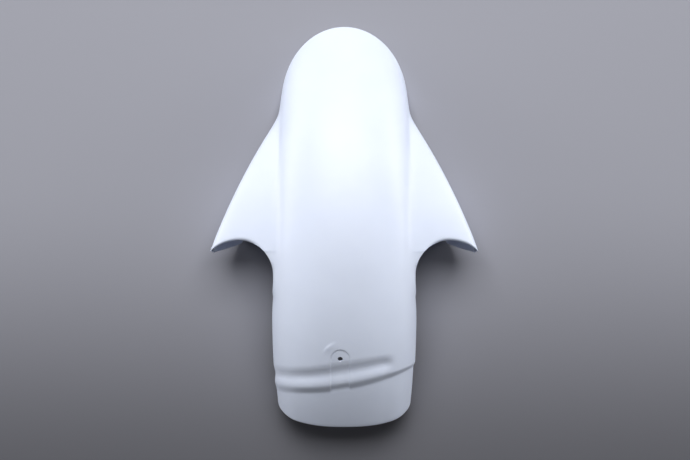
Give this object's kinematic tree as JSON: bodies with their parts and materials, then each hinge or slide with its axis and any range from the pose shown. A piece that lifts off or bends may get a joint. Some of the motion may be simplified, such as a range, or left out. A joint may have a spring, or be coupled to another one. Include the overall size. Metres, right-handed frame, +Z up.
{
  "type": "motorcycle front fender",
  "caption": "one-piece moulded front fender shell for a road motorcycle, with side wings, fork arches, bolt-on side skirts and a hose channel with a clamp hole behind",
  "frame": {"origin": "middle of the part's outline on the plane it rests on, nose edge and wing feet down", "axes": "+Y towards the nose, the way the wheel runs; +X to the right seen from above with the nose up; +Z up, away from the tyre"},
  "size_m": [0.2708, 0.4126, 0.101],
  "materials": {
    "shell": "unpainted white moulded plastic, satin"
  },
  "bodies": {
    "root": {"fender_shell": "shell"}
  },
  "joints": []
}
